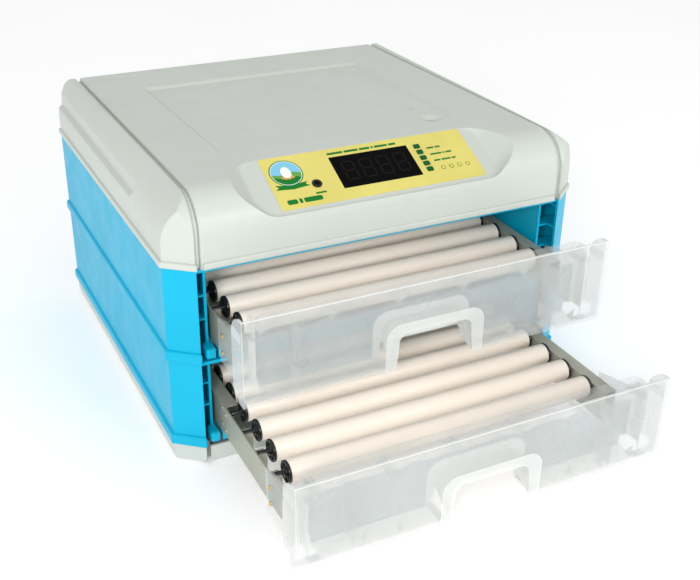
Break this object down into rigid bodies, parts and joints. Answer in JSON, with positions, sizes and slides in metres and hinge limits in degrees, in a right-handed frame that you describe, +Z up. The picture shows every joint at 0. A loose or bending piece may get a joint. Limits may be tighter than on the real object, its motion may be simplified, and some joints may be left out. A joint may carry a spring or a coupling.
{
  "type": "egg incubator",
  "caption": "Cabinet egg incubator with two pull-out drawers of turning rollers, a control panel with display and keys, and a fan-heated chamber.",
  "frame": {"origin": "centre of the cabinet's footprint, on the plane it stands on", "axes": "+X to the right of a person facing the drawers, +Y towards the back, +Z up; the drawers pull out along -Y"},
  "size_m": [0.5064, 0.7042, 0.314],
  "materials": {
    "cover_plastic": "satin",
    "blue_shell_plastic": "satin",
    "base_plastic": "satin",
    "water_tray_plastic": "gloss",
    "ceiling_plastic": "matte",
    "label_print": "satin",
    "display_black": "gloss",
    "socket_black": "satin",
    "circuit_board": "satin",
    "steel_case": "satin",
    "fan_black": "satin",
    "bright_steel": "satin",
    "clear_lens": "gloss",
    "key_rubber": "satin",
    "drawer_plastic": "satin",
    "rail_steel": "satin",
    "drive_steel": "satin",
    "brass_screws": "satin",
    "roller_plastic": "satin"
  },
  "bodies": {
    "cabinet": {"base_tray": "base_plastic", "water_tray": "water_tray_plastic", "lower_shell": "blue_shell_plastic", "upper_shell": "blue_shell_plastic", "top_cover": "cover_plastic", "left_side_cap": "cover_plastic", "right_side_cap": "cover_plastic", "inner_ceiling": "ceiling_plastic", "control_label": "label_print", "display_window": "display_black", "dc_jack": "socket_black", "mains_inlet": "socket_black", "controller_board": "circuit_board", "power_supply": "steel_case", "fan_frame": "fan_black", "fan_guard": "bright_steel", "heater": "bright_steel", "sensor_probe": "ceiling_plastic", "candler_lens": "clear_lens", "ceiling_screws": "bright_steel"},
    "fan_rotor": {"fan_rotor": "fan_black"},
    "button_1": {"button_1": "key_rubber"},
    "button_2": {"button_2": "key_rubber"},
    "button_3": {"button_3": "key_rubber"},
    "button_4": {"button_4": "key_rubber"},
    "button_5": {"button_5": "key_rubber"},
    "upper_drawer": {"upper_front": "drawer_plastic", "upper_left_rail_front": "rail_steel", "upper_left_rail_rear": "rail_steel", "upper_right_rail": "rail_steel", "upper_rear_bar": "rail_steel", "upper_turning_motor": "drive_steel", "upper_drive_chain": "drive_steel", "upper_screws": "brass_screws"},
    "upper_roller_1": {"upper_roller_1": "roller_plastic"},
    "upper_roller_2": {"upper_roller_2": "roller_plastic"},
    "upper_roller_3": {"upper_roller_3": "roller_plastic"},
    "upper_roller_4": {"upper_roller_4": "roller_plastic"},
    "upper_roller_5": {"upper_roller_5": "roller_plastic"},
    "upper_roller_6": {"upper_roller_6": "roller_plastic"},
    "upper_roller_7": {"upper_roller_7": "roller_plastic"},
    "upper_roller_8": {"upper_roller_8": "roller_plastic"},
    "upper_roller_9": {"upper_roller_9": "roller_plastic"},
    "lower_drawer": {"lower_front": "drawer_plastic", "lower_left_rail_front": "rail_steel", "lower_left_rail_rear": "rail_steel", "lower_right_rail": "rail_steel", "lower_rear_bar": "rail_steel", "lower_turning_motor": "drive_steel", "lower_drive_chain": "drive_steel", "lower_screws": "brass_screws"},
    "lower_roller_1": {"lower_roller_1": "roller_plastic"},
    "lower_roller_2": {"lower_roller_2": "roller_plastic"},
    "lower_roller_3": {"lower_roller_3": "roller_plastic"},
    "lower_roller_4": {"lower_roller_4": "roller_plastic"},
    "lower_roller_5": {"lower_roller_5": "roller_plastic"},
    "lower_roller_6": {"lower_roller_6": "roller_plastic"},
    "lower_roller_7": {"lower_roller_7": "roller_plastic"},
    "lower_roller_8": {"lower_roller_8": "roller_plastic"},
    "lower_roller_9": {"lower_roller_9": "roller_plastic"}
  },
  "joints": [
    {"name": "upper_drawer_slide", "type": "slide", "parent": "cabinet", "child": "upper_drawer", "axis": [0, -1, 0], "range_m": [-0.089, 0.271]},
    {"name": "lower_drawer_slide", "type": "slide", "parent": "cabinet", "child": "lower_drawer", "axis": [0, -1, 0], "range_m": [-0.21, 0.15]},
    {"name": "upper_roller_1_turn", "type": "hinge", "parent": "upper_drawer", "child": "upper_roller_1", "pos_m": [0, -0.2492, 0.174], "axis": [1, 0, 0], "continuous": true},
    {"name": "upper_roller_2_turn", "type": "hinge", "parent": "upper_drawer", "child": "upper_roller_2", "pos_m": [0, -0.2105, 0.174], "axis": [1, 0, 0], "continuous": true},
    {"name": "upper_roller_3_turn", "type": "hinge", "parent": "upper_drawer", "child": "upper_roller_3", "pos_m": [0, -0.1718, 0.174], "axis": [1, 0, 0], "continuous": true},
    {"name": "upper_roller_4_turn", "type": "hinge", "parent": "upper_drawer", "child": "upper_roller_4", "pos_m": [0, -0.1331, 0.174], "axis": [1, 0, 0], "continuous": true},
    {"name": "upper_roller_5_turn", "type": "hinge", "parent": "upper_drawer", "child": "upper_roller_5", "pos_m": [0, -0.0944, 0.174], "axis": [1, 0, 0], "continuous": true},
    {"name": "upper_roller_6_turn", "type": "hinge", "parent": "upper_drawer", "child": "upper_roller_6", "pos_m": [0, -0.0557, 0.174], "axis": [1, 0, 0], "continuous": true},
    {"name": "upper_roller_7_turn", "type": "hinge", "parent": "upper_drawer", "child": "upper_roller_7", "pos_m": [0, -0.017, 0.174], "axis": [1, 0, 0], "continuous": true},
    {"name": "upper_roller_8_turn", "type": "hinge", "parent": "upper_drawer", "child": "upper_roller_8", "pos_m": [0, 0.0217, 0.174], "axis": [1, 0, 0], "continuous": true},
    {"name": "upper_roller_9_turn", "type": "hinge", "parent": "upper_drawer", "child": "upper_roller_9", "pos_m": [0, 0.0604, 0.174], "axis": [1, 0, 0], "continuous": true},
    {"name": "lower_roller_1_turn", "type": "hinge", "parent": "lower_drawer", "child": "lower_roller_1", "pos_m": [0, -0.3702, 0.068], "axis": [1, 0, 0], "continuous": true},
    {"name": "lower_roller_2_turn", "type": "hinge", "parent": "lower_drawer", "child": "lower_roller_2", "pos_m": [0, -0.3315, 0.068], "axis": [1, 0, 0], "continuous": true},
    {"name": "lower_roller_3_turn", "type": "hinge", "parent": "lower_drawer", "child": "lower_roller_3", "pos_m": [0, -0.2928, 0.068], "axis": [1, 0, 0], "continuous": true},
    {"name": "lower_roller_4_turn", "type": "hinge", "parent": "lower_drawer", "child": "lower_roller_4", "pos_m": [0, -0.2541, 0.068], "axis": [1, 0, 0], "continuous": true},
    {"name": "lower_roller_5_turn", "type": "hinge", "parent": "lower_drawer", "child": "lower_roller_5", "pos_m": [0, -0.2154, 0.068], "axis": [1, 0, 0], "continuous": true},
    {"name": "lower_roller_6_turn", "type": "hinge", "parent": "lower_drawer", "child": "lower_roller_6", "pos_m": [0, -0.1767, 0.068], "axis": [1, 0, 0], "continuous": true},
    {"name": "lower_roller_7_turn", "type": "hinge", "parent": "lower_drawer", "child": "lower_roller_7", "pos_m": [0, -0.138, 0.068], "axis": [1, 0, 0], "continuous": true},
    {"name": "lower_roller_8_turn", "type": "hinge", "parent": "lower_drawer", "child": "lower_roller_8", "pos_m": [0, -0.0993, 0.068], "axis": [1, 0, 0], "continuous": true},
    {"name": "lower_roller_9_turn", "type": "hinge", "parent": "lower_drawer", "child": "lower_roller_9", "pos_m": [0, -0.0606, 0.068], "axis": [1, 0, 0], "continuous": true},
    {"name": "fan_spin", "type": "hinge", "parent": "cabinet", "child": "fan_rotor", "pos_m": [0, 0.02, 0.25], "axis": [0, 0, 1], "continuous": true},
    {"name": "button_1_press", "type": "slide", "parent": "cabinet", "child": "button_1", "axis": [0, 0.4274, -0.9041], "range_m": [0, 0.0012], "stiffness_N_per_m": 400},
    {"name": "button_2_press", "type": "slide", "parent": "cabinet", "child": "button_2", "axis": [0, 0.4274, -0.9041], "range_m": [0, 0.0012], "stiffness_N_per_m": 400},
    {"name": "button_3_press", "type": "slide", "parent": "cabinet", "child": "button_3", "axis": [0, 0.4274, -0.9041], "range_m": [0, 0.0012], "stiffness_N_per_m": 400},
    {"name": "button_4_press", "type": "slide", "parent": "cabinet", "child": "button_4", "axis": [0, 0.4274, -0.9041], "range_m": [0, 0.0012], "stiffness_N_per_m": 400},
    {"name": "button_5_press", "type": "slide", "parent": "cabinet", "child": "button_5", "axis": [0, 0.4274, -0.9041], "range_m": [0, 0.0012], "stiffness_N_per_m": 400}
  ],
  "couplings": [
    {"joint": "upper_roller_2_turn", "follows": "upper_roller_1_turn", "ratio": 1},
    {"joint": "upper_roller_3_turn", "follows": "upper_roller_1_turn", "ratio": 1},
    {"joint": "upper_roller_4_turn", "follows": "upper_roller_1_turn", "ratio": 1},
    {"joint": "upper_roller_5_turn", "follows": "upper_roller_1_turn", "ratio": 1},
    {"joint": "upper_roller_6_turn", "follows": "upper_roller_1_turn", "ratio": 1},
    {"joint": "upper_roller_7_turn", "follows": "upper_roller_1_turn", "ratio": 1},
    {"joint": "upper_roller_8_turn", "follows": "upper_roller_1_turn", "ratio": 1},
    {"joint": "upper_roller_9_turn", "follows": "upper_roller_1_turn", "ratio": 1},
    {"joint": "lower_roller_2_turn", "follows": "lower_roller_1_turn", "ratio": 1},
    {"joint": "lower_roller_3_turn", "follows": "lower_roller_1_turn", "ratio": 1},
    {"joint": "lower_roller_4_turn", "follows": "lower_roller_1_turn", "ratio": 1},
    {"joint": "lower_roller_5_turn", "follows": "lower_roller_1_turn", "ratio": 1},
    {"joint": "lower_roller_6_turn", "follows": "lower_roller_1_turn", "ratio": 1},
    {"joint": "lower_roller_7_turn", "follows": "lower_roller_1_turn", "ratio": 1},
    {"joint": "lower_roller_8_turn", "follows": "lower_roller_1_turn", "ratio": 1},
    {"joint": "lower_roller_9_turn", "follows": "lower_roller_1_turn", "ratio": 1}
  ]
}
